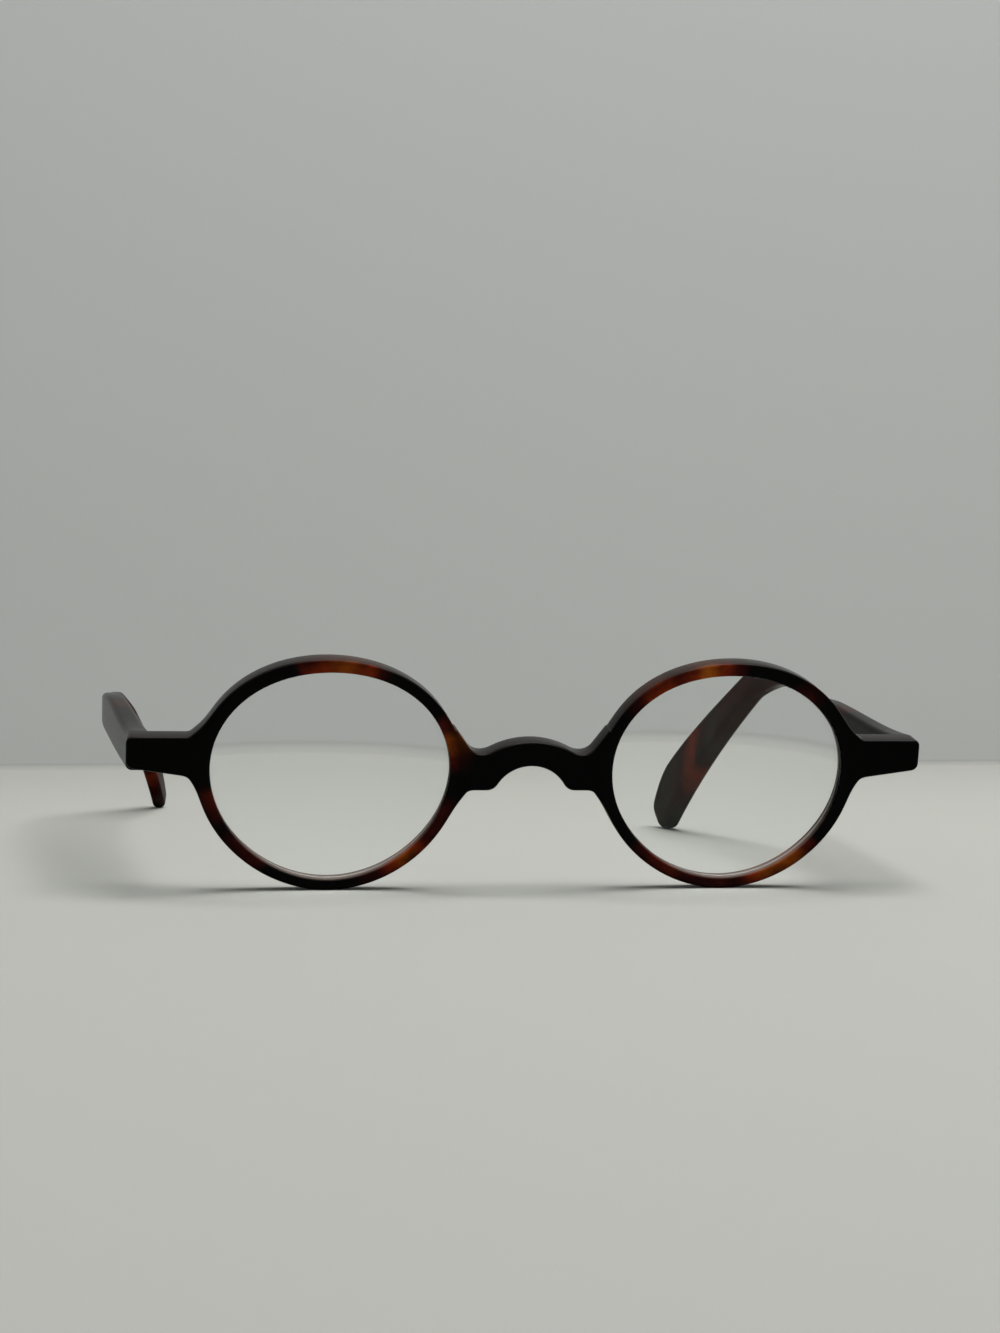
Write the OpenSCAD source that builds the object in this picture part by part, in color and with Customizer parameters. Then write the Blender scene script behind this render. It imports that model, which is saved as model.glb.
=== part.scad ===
// Oval acetate eyeglass frame: one-piece front with a wavy saddle bridge, two clear lenses
// in V grooves, and two wire-cored temples on five-knuckle hinges with slotted screws.
// It stands on its rims and temple tips, front towards -Y, temples towards +Y, up is +Z.
// Lengths are millimetres and angles are degrees. "left" is the wearer's left, at +X.

/* [Lens openings] */
// Width of each lens opening, seen from the front
lens_w = 39; // [34:0.5:44]
// Height of each lens opening
lens_h = 34.7; // [30:0.1:38]
// How far the opening bulges at its upper corners and foot beyond a plain oval
panto = 0.31; // [0:0.01:0.6]
// Least distance between the two openings, across the bridge
bridge_gap = 27.2; // [23:0.1:31]
/* [Rims] */
// Width of the rim's front face at the bottom of the lens
rim_w = 1.95; // [1.6:0.05:2.8]
// Extra rim width at the upper outer corner
rim_swell = 0.5; // [0:0.05:1]
// Thickness of the front, from its face to its back
front_t = 4.4; // [3.8:0.1:5.5]
// Radius of the polished edges of the front
edge_r = 0.5; // [0.2:0.05:0.8]
// Forward lean of the front as it stands on a table
lean = 10.5; // [6:0.5:14]
/* [Bridge] */
// Height of the bridge crown over the lens centre line
crown_z = 5.7; // [4.5:0.1:7]
// Height of the two dips beside the crown
dip_z = 3.6; // [2.8:0.05:4]
// Distance of each dip from the middle
dip_x = 8.4; // [7.6:0.1:9]
// Radius of the crown
crown_r = 14; // [11:0.5:15]
// Radius of each dip on its outer side, where it climbs to the rim
dip_r = 2.6; // [2:0.1:3.2]
// Slope of that climb
dip_slope = 54; // [48:1:60]
// Thickness of the bridge below the crown
bridge_h = 4.15; // [3.4:0.05:4.6]
// Radius of the nose arch under the crown
arch_r = 6.5; // [5.8:0.1:7.5]
// Depth of the level feet beside the nose arch, below the lens centre line
foot_z = 2.6; // [2:0.05:3]
// Radius between the arch and each foot
foot_r = 2; // [1.2:0.1:2.4]
// Radius between each foot and its rim
rim_fillet = 2.6; // [2:0.1:3.2]
// Extra rim width where the bridge runs into the rim
bridge_blend = 2.7; // [1.5:0.1:3]
/* [Endpieces] */
// Width of the whole front
front_w = 132; // [126:0.2:140]
// Height of the endpieces' top edge over the lens centre line
end_top = 6.3; // [5.2:0.1:7]
// Height of an endpiece at its outer end
end_h = 5.2; // [4.8:0.1:5.6]
// Downward slope of its lower edge towards the rim
end_slope = 8.4; // [6:0.2:12]
// Radius between an endpiece's edges and the rim
end_fillet = 2.4; // [1.6:0.1:3]
// Extra rim width where the endpiece runs into the rim
end_blend = 3.2; // [2:0.1:3.6]
/* [Temples] */
// Length of the straight part, from the front to the ear bend
temple_straight = 95.8; // [82:0.2:110]
// Inside radius of the ear bend
bend_r = 12.5; // [9:0.5:20]
// Angle that the end turns down behind the ear
drop_angle = 43; // [34:1:52]
// Height of the temple at the hinge
temple_h = 6.5; // [5.8:0.1:7]
// Height half way to the ear bend
temple_mid_h = 7.5; // [6.4:0.1:8.4]
// Height at its narrowest, where the bend begins
bend_h = 4.2; // [3.8:0.1:5.2]
// How far the lower edge rises from the hinge to the ear bend
bend_rise = 2.7; // [1:0.1:3.6]
// Height at the widest place of the paddle
paddle_h = 5.7; // [5:0.1:7]
// Length from that place to the tip
paddle_end = 7.2; // [4:0.1:9]
// Radius of the tip
tip_r = 1.65; // [1.3:0.05:2]
// Thickness at the hinge
temple_t = 4; // [3.5:0.1:4.5]
// Thickness at the tip
tip_t = 2.6; // [2.2:0.1:3.2]
// Radius of the polished edges of the temples
temple_edge_r = 1; // [0.6:0.05:1.25]
// Outward splay of the straight part
splay = 3.8; // [2:0.1:5]
// Distance from the front at which the temple starts to curve in
curl_start = 58; // [48:1:70]
// Radius of that inward curve, seen from above
curl_r = 234; // [180:1:300]
// Angle that the end toes in, seen from above
toe = 12; // [6:0.5:14]
// Distance that the end comes in below the ear bend, seen from the front
hook_in = 4.9; // [2:0.1:8]
/* [Lenses] */
// Depth of the V groove in the rims
groove_d = 0.8; // [0.5:0.05:1]
// Width of the V bevel round a lens
bevel_w = 1.5; // [1.2:0.05:1.7]
// Flat land of the lens's edge on each side of the bevel, where the edge is thinnest
land = 0.12; // [0.08:0.01:0.2]
// Distance of the groove from the front face
groove_y = 2.2; // [1.9:0.1:2.5]
// Radius of a lens's front surface
lens_front_r = 75; // [68:1:110]
// Radius of a lens's back surface
lens_back_r = 168; // [150:1:300]
// Clearance between a lens and its groove
lens_gap = 0.05; // [0.02:0.01:0.1]
/* [Hinges] */
// Radius of the hinge knuckles
knuckle_r = 1.3; // [1.15:0.05:1.4]
// Height of the stack of knuckles
hinge_h = 4.2; // [3.9:0.1:4.3]
// Number of knuckles, the front leaf holding one more than the temple leaf
knuckles = 5; // [3:2:5]
// Gap between neighbouring knuckles
knuckle_gap = 0.06; // [0.03:0.01:0.1]
// Radius of the hinge screw
screw_r = 0.7; // [0.5:0.05:0.75]
// Clearance round the screw
screw_gap = 0.04; // [0.02:0.01:0.08]
// Radius of the screw head
screw_head_r = 1.1; // [0.95:0.05:1.15]
// Depth of the countersunk screw head
screw_head_h = 0.5; // [0.4:0.05:0.55]
// Width of the screwdriver slot
slot_w = 0.3; // [0.2:0.05:0.35]
// Thickness of the plates sunk into the acetate
plate_t = 1; // [0.8:0.05:1.1]
// Width of the front leaf's plate
front_plate_w = 5; // [4:0.1:5.6]
// Length of the temple leaf's plate
temple_plate_l = 9; // [7:0.5:12]
// Radius of the anchor studs behind the plates
stud_r = 0.6; // [0.45:0.05:0.7]
// Length of the anchor studs
stud_h = 0.7; // [0.5:0.05:0.75]
// Clearance between a sunk plate and its pocket
plate_gap = 0.02; // [0.01:0.01:0.05]
// Gap between hinge barrel and temple
barrel_gap = 0.5; // [0.3:0.05:0.7]
// How far the plates reach past the knuckles, above and below
plate_over = 0.1; // [0.08:0.02:0.2]
// Gap between the front and the open temple's end
stop_gap = 0.05; // [0.03:0.01:0.1]
/* [Core wires] */
// Radius of the wire inside each temple
wire_r = 0.6; // [0.45:0.05:0.65]
// Distance of the wire's front end from the front
wire_start = 1; // [0.5:0.5:6]
// Thickness of acetate between the wire and the temple's outer face at the hinge
wire_cover = 0.6; // [0.5:0.05:0.75]
// Distance of the wire's rear end from the tip
wire_end = 12; // [11:0.5:16]
// Clearance round the wire
wire_gap = 0.02; // [0.01:0.01:0.04]
/* [Hidden] */
acetate = "#3a1508";
steel = "#b9bcc0";
rim_steps = 60;
// Sides of the hinge's round pieces: knuckles, bore and screw, and anchor studs
knuckle_sides = 24;
bore_sides = 20;
stud_sides = 12;
lens_a = lens_w / 2;
lens_b = lens_h / 2;
lens_x = lens_a + bridge_gap / 2;
// Where the rim is widest, and where it widens into the bridge and the endpiece, and how far
swell_at = 40;
bridge_at = 178;
bridge_spread = 11.5;
end_at = 8;
end_spread = 9.5;
// Rim angles at which the bridge's foot and the endpiece's two edges leave it
foot_at = 193;
end_top_at = 22;
end_foot_at = 352;
plate_h = hinge_h + 2 * plate_over;
// Width of rim, beside the opening, that the bridge and the endpiece stay out of
rim_bite = 0.8;
// Radius of the flat disc at the middle of each lens surface
lens_disc = 2;
// Step down from the endpiece's top edge to the temple's
butt_step = 0.1;
// How far the temple's blank reaches ahead of and behind its start, where the stop plane trims it
butt_ahead = 3;
butt_behind = 4;
// Power of the curve by which the paddle narrows to the tip
paddle_power = 1.5;
// Last angle round the tip before its closing facet
tip_last = 76;
// Length over which the wire comes to the middle of the temple's thickness
wire_shift_l = 40;

function mix(a, b, k) = a + (b - a) * k;
function smooth(k) = let (q = max(0, min(1, k))) q * q * (3 - 2 * q);

// Radius of the lens opening at an angle, and of the rim's outside, about the lens centre.
// Angle 0 points to the endpiece and 180 to the bridge.
function opening(t) = 1 / norm([cos(t) / lens_a, sin(t) / lens_b]) + panto * sin(3 * t);
function bump(t, at, wide) = exp(-pow((t > at + 180 ? t - 360 - at : t - at) / wide, 2));
function swell(t) = rim_swell * pow((1 + cos(t - swell_at)) / 2, 3);
function rim_outside(t) = opening(t) + rim_w + swell(t)
    + bridge_blend * bump(t, bridge_at, bridge_spread)
    + end_blend * bump(t, end_at, end_spread);
angles = [for (i = [0:rim_steps - 1]) i * 360 / rim_steps];

// A rectangle with round corners, three points to a corner.
function rounded(x0, x1, y0, y1, r) = [
    for (c = [[x1 - r, y1 - r, 0], [x0 + r, y1 - r, 90], [x0 + r, y0 + r, 180], [x1 - r, y0 + r, 270]])
        for (a = [0, 45, 90]) [c[0] + r * cos(c[2] + a), c[1] + r * sin(c[2] + a)]
];

// A solid bar through a list of convex cross-sections, each in a plane of constant x or y.
module bar(rings) {
    for (i = [1:len(rings) - 1])
        hull() polyhedron(concat(rings[i - 1], rings[i]), [[for (k = [0:2 * len(rings[i]) - 1]) k]]);
}

// One skin through a list of cross-sections, closed by caps or, for a loop, by its first section.
module skin(rings, loop = false) {
    n = len(rings[0]);
    spans = len(rings) - (loop ? 0 : 1);
    sides = [for (i = [0:spans - 1]) for (k = [0:n - 1])
        let (a = i * n, b = (i + 1) % len(rings) * n, j = (k + 1) % n)
        for (face = [[a + k, b + k, b + j], [a + k, b + j, a + j]]) face];
    caps = loop ? [] : [[for (k = [0:n - 1]) k], [for (k = [n - 1:-1:0]) spans * n + k]];
    polyhedron([for (ring = rings) for (q = ring) q], concat(sides, caps), convexity = 8);
}

// The part stands on its rims' front lower edges and on its temple tips, at z = 0.
rim_foot = max([for (t = angles) -rim_outside(t) * sin(t)]);
rim_top = max([for (t = angles) (rim_outside(t) - edge_r) * sin(t)]);
front_z = rim_foot * cos(lean) - edge_r * sin(lean);
function back_y(z) = front_t / cos(lean) - (z - front_z) * tan(lean);

// The front's own frame: x across, y from its face to its back, z up from the lens centres.
module on_front() {
    translate([0, 0, front_z]) rotate([lean, 0, 0]) children();
}

// Upper edge of the bridge: the crown's arc, the dip's arc, then the climb to the rim.
dip_inner_r = (pow(dip_x, 2) + pow(crown_z - dip_z, 2)) / (2 * (crown_z - dip_z)) - crown_r;
crown_end = dip_x * crown_r / (crown_r + dip_inner_r);
function bridge_top(x) = let (u = abs(x), d = u - dip_x, d1 = dip_r * sin(dip_slope))
    u < crown_end ? crown_z - crown_r + sqrt(pow(crown_r, 2) - u * u)
    : d < 0 ? dip_z + dip_inner_r - sqrt(pow(dip_inner_r, 2) - d * d)
    : d < d1 ? dip_z + dip_r - sqrt(pow(dip_r, 2) - d * d)
    : dip_z + dip_r * (1 - cos(dip_slope)) + (d - d1) * tan(dip_slope);

// Lower edge of the bridge: the nose arch, the round step, the level foot and the rim fillet.
arch_z = crown_z - bridge_h - arch_r;
foot_x = sqrt(pow(arch_r + foot_r, 2) - pow(foot_r - foot_z - arch_z, 2));
step_x = foot_x * arch_r / (arch_r + foot_r);
rim_foot_r = rim_outside(foot_at);
fillet_x = lens_x - sqrt(pow(rim_foot_r + rim_fillet, 2) - pow(foot_z + rim_fillet, 2));
bridge_end = lens_x - lens_a - rim_bite;
function bridge_bottom(x) = let (u = abs(x), d = min(u - fillet_x, rim_fillet * 0.9))
    u < step_x ? arch_z + sqrt(pow(arch_r, 2) - u * u)
    : u < foot_x ? foot_r - foot_z - sqrt(pow(foot_r, 2) - pow(foot_x - u, 2))
    : d < 0 ? -foot_z
    : -foot_z - rim_fillet + sqrt(pow(rim_fillet, 2) - d * d);

// Upper and lower edge of an endpiece, level above and sloped below, filleted to the rim.
end_x = front_w / 2;
end_root = lens_x + lens_a + rim_bite;
function root_fillet(x, at) = let (d = min(max(at - x, 0), end_fillet * 0.94))
    end_fillet - sqrt(pow(end_fillet, 2) - d * d);
end_top_x = lens_x + sqrt(pow(rim_outside(end_top_at) + end_fillet, 2) - pow(end_top + end_fillet, 2));
end_foot = end_top - end_h - (end_x - lens_x - rim_outside(0)) * tan(end_slope);
end_foot_x = lens_x + sqrt(pow(rim_outside(end_foot_at) + end_fillet, 2) - pow(end_fillet - end_foot, 2));
function end_upper(x) = end_top + root_fillet(x, end_top_x);
function end_lower(x) = end_top - end_h - (end_x - x) * tan(end_slope) - root_fillet(x, end_foot_x);

module rim() {
    function section(t) = [for (p = rounded(opening(t), rim_outside(t), 0, front_t, edge_r))
        [lens_x + p[0] * cos(t), p[1], p[0] * sin(t)]];
    skin([for (t = angles) section(t)], loop = true);
}

module bridge() {
    steps = 32;
    bar([for (i = [0:steps]) let (x = mix(-bridge_end, bridge_end, i / steps))
        [for (p = rounded(bridge_bottom(x), bridge_top(x), 0, front_t, edge_r)) [x, p[1], p[0]]]]);
}

module endpiece() {
    steps = 12;
    corner = 2 * edge_r;
    stations = concat(
        [for (i = [0:steps]) [mix(end_root, end_x - corner, i / steps), 0]],
        [for (a = [30, 60, 90]) [end_x - corner * (1 - sin(a)), corner * (1 - cos(a))]]);
    bar([for (s = stations)
        [for (p = rounded(end_lower(s[0]) + s[1], end_upper(s[0]) - s[1], 0, front_t, edge_r))
            [s[0], p[1], p[0]]]]);
}

// The V bevel round a lens's edge: an oval disc, widest in the middle of its thickness.
module v_edge(wall, depth, half) {
    function ring(extra, y) = [for (t = angles)
        [lens_x + (opening(t) + extra) * cos(t), y, (opening(t) + extra) * sin(t)]];
    rings = concat(ring(wall, groove_y - half), ring(depth, groove_y), ring(wall, groove_y + half));
    hull() polyhedron(rings, [[for (k = [0:len(rings) - 1]) k]]);
}

// The frame that everything is built in has the lens centres at y = 0; this centres the part.
module placed() {
    translate([0, -middle_y, 0]) children();
}

// Hinge place: beside the temple's inner face and behind the front's back.
temple_z = front_z + end_top * cos(lean) + front_t * sin(lean) - temple_h - butt_step;
hinge_z = temple_z + temple_h / 2;
pivot_x = end_x - temple_t - knuckle_r - barrel_gap;
pivot_y = back_y(hinge_z - hinge_h / 2) + knuckle_r + barrel_gap;
knuckle_h = (hinge_h - (knuckles - 1) * knuckle_gap) / knuckles;
function knuckle_z(i) = hinge_z - hinge_h / 2 + i * (knuckle_h + knuckle_gap);
plate_v = (hinge_z - front_z - front_t * sin(lean)) / cos(lean);

// The temple runs along its lower edge: rising to the ear bend, round it, and down to the tip.
bend_z = temple_z + bend_rise;
bend_l = bend_r * drop_angle * PI / 180;
drop_l = (bend_z - (bend_r + tip_r) * (1 - cos(drop_angle))) / sin(drop_angle) + tip_r;
temple_l = temple_straight + bend_l + drop_l;
narrow = temple_straight + bend_l * 0.25;
widest = temple_l - paddle_end;
temple_y = back_y(temple_z);
function turned(s) = drop_angle * max(0, min(1, (s - temple_straight) / bend_l));
function path(s) = let (a = turned(s), d = max(0, s - temple_straight - bend_l)) [
    min(s, temple_straight) + bend_r * sin(a) + d * cos(a),
    bend_rise * smooth(s / temple_straight) - bend_r * (1 - cos(a)) - d * sin(a)];
// The outer face, at a distance behind the butt and a height: splayed, toed in, then hooked in.
curl_l = curl_r * (tan(splay) + tan(toe));
function side_x(s, y, z) = let (c = min(max(0, y - curl_start), curl_l), k = z / (bend_z + bend_h))
    end_x + y * tan(splay) - c * c / (2 * curl_r) - max(0, y - curl_start - curl_l) * curl_l / curl_r
        - hook_in * smooth(turned(s) / drop_angle) * (1 - k * k);
function across(s) = mix(temple_t, tip_t, max(0, s) / temple_l);
function height(s) =
    s < temple_straight / 2 ? mix(temple_h, temple_mid_h, smooth(2 * s / temple_straight))
    : s < narrow
        ? mix(temple_mid_h, bend_h, smooth((2 * s - temple_straight) / (2 * narrow - temple_straight)))
    : s < widest ? mix(bend_h, paddle_h, smooth((s - narrow) / (widest - narrow)))
    : mix(paddle_h, 2 * tip_r, pow((s - widest) / paddle_end, paddle_power));
function nose(s) = let (d = max(0, s - temple_l + tip_r)) tip_r - sqrt(pow(tip_r, 2) - d * d);
function at_temple(s, inset, h) =
    let (a = turned(s), q = path(s), y = q[0] + h * sin(a), z = temple_z + q[1] + h * cos(a))
    [side_x(s, y, z) - inset, temple_y + y, z];
function temple_section(s) =
    let (t = across(s), e = nose(s), r = min(temple_edge_r, t * 0.36, (height(s) - 2 * e) * 0.45))
    [for (p = rounded(0, t, e, height(s) - e, r)) at_temple(s, p[0], p[1])];
tip_angles = [0, drop_angle / 2, drop_angle, (drop_angle + tip_last) / 2, tip_last];
straight_stations = concat([-butt_ahead],
    [for (i = [0:10]) mix(butt_behind, temple_straight, i / 10)]);
end_stations = concat(
    [for (i = [0:7]) temple_straight + bend_l * i / 7],
    [for (i = [1:5]) mix(temple_straight + bend_l, widest, i / 5)],
    [for (k = [0.25, 0.5, 0.75]) mix(widest, temple_l - tip_r, k)],
    [for (a = tip_angles) temple_l - tip_r * (1 - sin(a))]);
rear = max([for (s = end_stations) for (p = temple_section(s)) p[1]]);
middle_y = (rear - rim_top * sin(lean)) / 2;

// A round bar along the temple, for the wire and, open at the front, for the hole that it fills.
// It starts outside the studs and comes to the middle of the thickness.
function core_ring(s, r) = let (inset = mix(wire_cover + wire_r, across(s) / 2, smooth(s / wire_shift_l)))
    [for (a = [0:45:315]) at_temple(s, inset + r * cos(a), height(s) / 2 + r * sin(a))];
module core(r, first, last) {
    steps = 12;
    bar([for (i = [0:steps]) core_ring(mix(first, temple_straight, i / steps), r)]);
    skin([for (i = [0:steps]) core_ring(mix(temple_straight, last, i / steps), r)]);
}

// Plate and anchor studs of the front leaf, sunk in the back of the endpiece.
module front_plate(gap) {
    x0 = pivot_x + knuckle_r - front_plate_w;
    translate([x0 - gap, front_t - plate_t - gap, plate_v - plate_h / 2 - gap])
        cube([front_plate_w + 2 * gap, plate_t + (gap > 0 ? 1 : 0), plate_h + 2 * gap]);
    for (x = [x0 + 2 * stud_r, x0 + front_plate_w - 2 * stud_r])
        translate([x, front_t - plate_t / 2, plate_v]) rotate([90, 0, 0])
            cylinder(r = stud_r + gap, h = plate_t / 2 + stud_h + gap, $fn = stud_sides);
}

// Plate and anchor studs of the temple leaf, sunk in the temple's inner face.
plate_start = pivot_y - knuckle_r - temple_y;
function inner_x(s) = side_x(s, s, hinge_z) - across(s);
leaf_x = inner_x(plate_start);
leaf_angle = atan((inner_x(plate_start + temple_plate_l) - leaf_x) / temple_plate_l);
// Its pocket is open at the butt.
module temple_plate(gap) {
    ahead = gap > 0 ? 2 * knuckle_r : 0;
    translate([leaf_x, temple_y + plate_start, hinge_z]) rotate([0, 0, -leaf_angle]) {
        translate([gap > 0 ? -1 : 0, -ahead, -plate_h / 2 - gap]) cube([
            plate_t + (gap > 0 ? 1 + gap : 0), temple_plate_l + ahead + gap, plate_h + 2 * gap]);
        for (y = [0.25, 0.75])
            translate([plate_t / 2, y * temple_plate_l, 0]) rotate([0, 90, 0])
                cylinder(r = stud_r + gap, h = plate_t / 2 + stud_h + gap, $fn = stud_sides);
    }
}

// Everything ahead of the plane on which an open temple stops.
module ahead_of_stop() {
    on_front() translate([0, front_t + stop_gap - front_w, -front_w]) cube([front_w, front_w, 2 * front_w]);
}

module knuckle(i) {
    translate([pivot_x, pivot_y, knuckle_z(i)]) cylinder(r = knuckle_r, h = knuckle_h, $fn = knuckle_sides);
}

// The hinge's bore, with the countersink of the screw head in the top knuckle.
module bore() {
    translate([pivot_x, pivot_y, hinge_z - hinge_h / 2 - 1])
        cylinder(r = screw_r + screw_gap, h = hinge_h + 2, $fn = bore_sides);
    translate([pivot_x, pivot_y, hinge_z + hinge_h / 2 - screw_head_h])
        cylinder(r1 = screw_r + screw_gap, r2 = screw_head_r + screw_gap, h = screw_head_h, $fn = bore_sides);
}

module front_leaf() {
    difference() {
        union() {
            on_front() front_plate(0);
            for (i = [0:2:knuckles - 1]) {
                sunk = back_y(knuckle_z(i) + knuckle_h / 2) - plate_t / 2;
                knuckle(i);
                translate([pivot_x - knuckle_r, sunk, knuckle_z(i)])
                    cube([2 * knuckle_r, pivot_y - sunk, knuckle_h]);
            }
        }
        bore();
    }
}

module temple_leaf() {
    difference() {
        union() {
            temple_plate(0);
            for (i = [1:2:knuckles - 1]) {
                knuckle(i);
                translate([pivot_x, pivot_y - knuckle_r, knuckle_z(i)])
                    cube([leaf_x + plate_t / 2 - pivot_x, 2 * knuckle_r, knuckle_h]);
            }
        }
        bore();
    }
}

module screw() {
    translate([pivot_x, pivot_y, hinge_z - hinge_h / 2]) difference() {
        union() {
            cylinder(r = screw_r, h = hinge_h, $fn = bore_sides);
            translate([0, 0, hinge_h - screw_head_h])
                cylinder(r1 = screw_r, r2 = screw_head_r, h = screw_head_h, $fn = bore_sides);
        }
        translate([-slot_w / 2, -2 * screw_head_r, hinge_h - screw_head_h / 2])
            cube([slot_w, 4 * screw_head_r, screw_head_h]);
    }
}

// A meniscus lens: back surface, land, bevel, land and front surface, as rings from the back's
// middle round to the front's. The middles are small flat discs.
module lens() {
    function sphere_y(rho, edge_y, r) = edge_y + sqrt(pow(r, 2) - pow(lens_a, 2))
        - sqrt(pow(r, 2) - pow(rho, 2));
    function ring(extra, y) = [for (t = angles)
        let (q = opening(t) - lens_gap + extra) [lens_x + q * cos(t), y, q * sin(t)]];
    function dome_ring(k, edge_y, r) = [for (t = angles) let (q = (opening(t) - lens_gap) * k)
        [lens_x + q * cos(t), sphere_y(q, edge_y, r), q * sin(t)]];
    function disc(edge_y, r) = [for (t = angles)
        [lens_x + lens_disc * cos(t), sphere_y(lens_disc, edge_y, r), lens_disc * sin(t)]];
    back_edge = groove_y + bevel_w / 2 + land;
    front_edge = groove_y - bevel_w / 2 - land;
    zones = [0.3, 0.55, 0.8, 1];
    on_front() skin(concat(
        [disc(back_edge, lens_back_r)],
        [for (k = zones) dome_ring(k, back_edge, lens_back_r)],
        [ring(0, groove_y + bevel_w / 2), ring(groove_d, groove_y), ring(0, groove_y - bevel_w / 2)],
        [for (i = [3:-1:0]) dome_ring(zones[i], front_edge, lens_front_r)],
        [disc(front_edge, lens_front_r)]));
}

module temple() {
    difference() {
        union() {
            bar([for (s = straight_stations) temple_section(s)]);
            skin([for (s = end_stations) temple_section(s)]);
        }
        ahead_of_stop();
        temple_plate(plate_gap);
        core(wire_r + wire_gap, -butt_ahead - 1, temple_l - wire_end + wire_gap);
    }
}

// The front: rims, bridge and endpieces in one, with the lens grooves and the hinge pockets.
module front() {
    color(acetate) placed() on_front() difference() {
        union() {
            bridge();
            for (side = [0, 1]) mirror([side, 0, 0]) {
                rim();
                endpiece();
            }
        }
        for (side = [0, 1]) mirror([side, 0, 0]) {
            v_edge(0, groove_d, bevel_w / 2 + lens_gap);
            front_plate(plate_gap);
        }
    }
}

module lens_left() {
    color("#dfe8e6", 0.35) placed() lens();
}

module lens_right() {
    color("#dfe8e6", 0.35) placed() mirror([1, 0, 0]) lens();
}

module temple_left() {
    color(acetate) placed() temple();
}

module temple_right() {
    color(acetate) placed() mirror([1, 0, 0]) temple();
}

module core_wire_left() {
    color(steel) placed() core(wire_r, wire_start, temple_l - wire_end);
}

module core_wire_right() {
    color(steel) placed() mirror([1, 0, 0]) core(wire_r, wire_start, temple_l - wire_end);
}

module front_hinge_left() {
    color(steel) placed() front_leaf();
}

module front_hinge_right() {
    color(steel) placed() mirror([1, 0, 0]) front_leaf();
}

module temple_hinge_left() {
    color(steel) placed() temple_leaf();
}

module temple_hinge_right() {
    color(steel) placed() mirror([1, 0, 0]) temple_leaf();
}

module hinge_screw_left() {
    color(steel) placed() screw();
}

module hinge_screw_right() {
    color(steel) placed() mirror([1, 0, 0]) screw();
}

echo(pivot_mm = [pivot_x, pivot_y - middle_y, hinge_z], front_z = front_z, middle_y = middle_y,
    temple_l = temple_l, back = back_y(0) - middle_y);

front();
lens_right();
lens_left();
temple_right();
temple_left();
core_wire_right();
core_wire_left();
front_hinge_right();
front_hinge_left();
temple_hinge_right();
temple_hinge_left();
hinge_screw_right();
hinge_screw_left();
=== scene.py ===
"""Oval tortoiseshell eyeglass frame with clear lenses, standing open on a pale table.

Lengths are worked out in millimetres and written to the meshes in metres.
The wearer's left is at +X, the front faces -Y and the temples run towards +Y.
"""
import math

import bmesh
import bpy
import numpy as np
from mathutils import Matrix, Vector
from mathutils.geometry import tessellate_polygon


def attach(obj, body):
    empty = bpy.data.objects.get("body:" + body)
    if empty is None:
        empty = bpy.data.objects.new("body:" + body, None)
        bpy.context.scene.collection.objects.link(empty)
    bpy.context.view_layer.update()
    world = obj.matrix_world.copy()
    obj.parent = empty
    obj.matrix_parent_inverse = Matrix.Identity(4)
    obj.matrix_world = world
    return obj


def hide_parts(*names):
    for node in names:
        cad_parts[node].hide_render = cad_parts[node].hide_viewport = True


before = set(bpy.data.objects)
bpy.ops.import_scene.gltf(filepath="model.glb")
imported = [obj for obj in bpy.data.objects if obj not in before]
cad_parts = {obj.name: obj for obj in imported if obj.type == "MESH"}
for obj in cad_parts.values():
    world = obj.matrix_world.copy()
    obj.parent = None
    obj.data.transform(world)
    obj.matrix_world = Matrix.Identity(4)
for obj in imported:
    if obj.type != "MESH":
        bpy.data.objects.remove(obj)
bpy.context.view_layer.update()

# Front: the two rims, the saddle bridge and the endpieces, milled from one sheet of tortoiseshell
# acetate 4.4 mm thick and tumbled until every edge is round. A V groove runs round each opening
# for the lens, and a pocket in the back of each endpiece takes the hinge.
lens_a, lens_b, panto, bridge_gap = 19.5, 17.35, 0.31, 27.2
lens_x = lens_a + bridge_gap / 2
rim_w, rim_swell, swell_at = 1.95, 0.5, 40
bridge_blend, bridge_at, bridge_spread = 2.7, 178, 11.5
end_blend, end_at, end_spread = 3.2, 8, 9.5
foot_at, end_top_at, end_foot_at = 193, 22, -8
front_t, edge_r, rim_bite = 4.4, 0.5, 0.8
lean = math.radians(10.5)
front_z, middle_y = 19.1933, 64.0452
crown_z, dip_z, dip_x, crown_r, dip_r = 5.7, 3.6, 8.4, 14.0, 2.6
dip_slope = math.radians(54)
bridge_h, arch_r, foot_z, foot_r = 4.15, 6.5, 2.6, 2.0
rim_fillet, rim_fillet_share, end_fillet_share = 2.6, 0.9, 0.94
end_x, end_top, end_h, end_fillet = 66.0, 6.3, 5.2, 2.4
end_slope = math.tan(math.radians(8.4))
groove_y, groove_d, bevel_w, lens_gap = 2.2, 0.8, 1.5, 0.05
pivot_x, knuckle_r, plate_t, plate_gap = 60.2, 1.3, 1.0, 0.02
hinge_z, front_plate_w, plate_h = 22.8397, 5.0, 4.4


def opening(t):
    """Radius of a lens opening at angle t: an ellipse plus three low lobes."""
    return 1 / np.hypot(np.cos(t) / lens_a, np.sin(t) / lens_b) + panto * np.sin(3 * t)


def rim_outside(t):
    """Radius of the rim's outside: the opening, the rim's width, a swelling at the upper outer
    corner, and a bell curve where the bridge and where the endpiece run in."""
    def bell(at, spread):
        d = (np.degrees(t) - at + 180) % 360 - 180
        return np.exp(-(d / spread) ** 2)
    swelling = rim_swell * ((1 + np.cos(t - math.radians(swell_at))) / 2) ** 3
    return (opening(t) + rim_w + swelling + bridge_blend * bell(bridge_at, bridge_spread)
            + end_blend * bell(end_at, end_spread))


def arc(r, d):
    """Height of a circle of radius r over its centre, at a distance d beside it."""
    return np.sqrt(np.maximum(r * r - d * d, 0))


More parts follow.
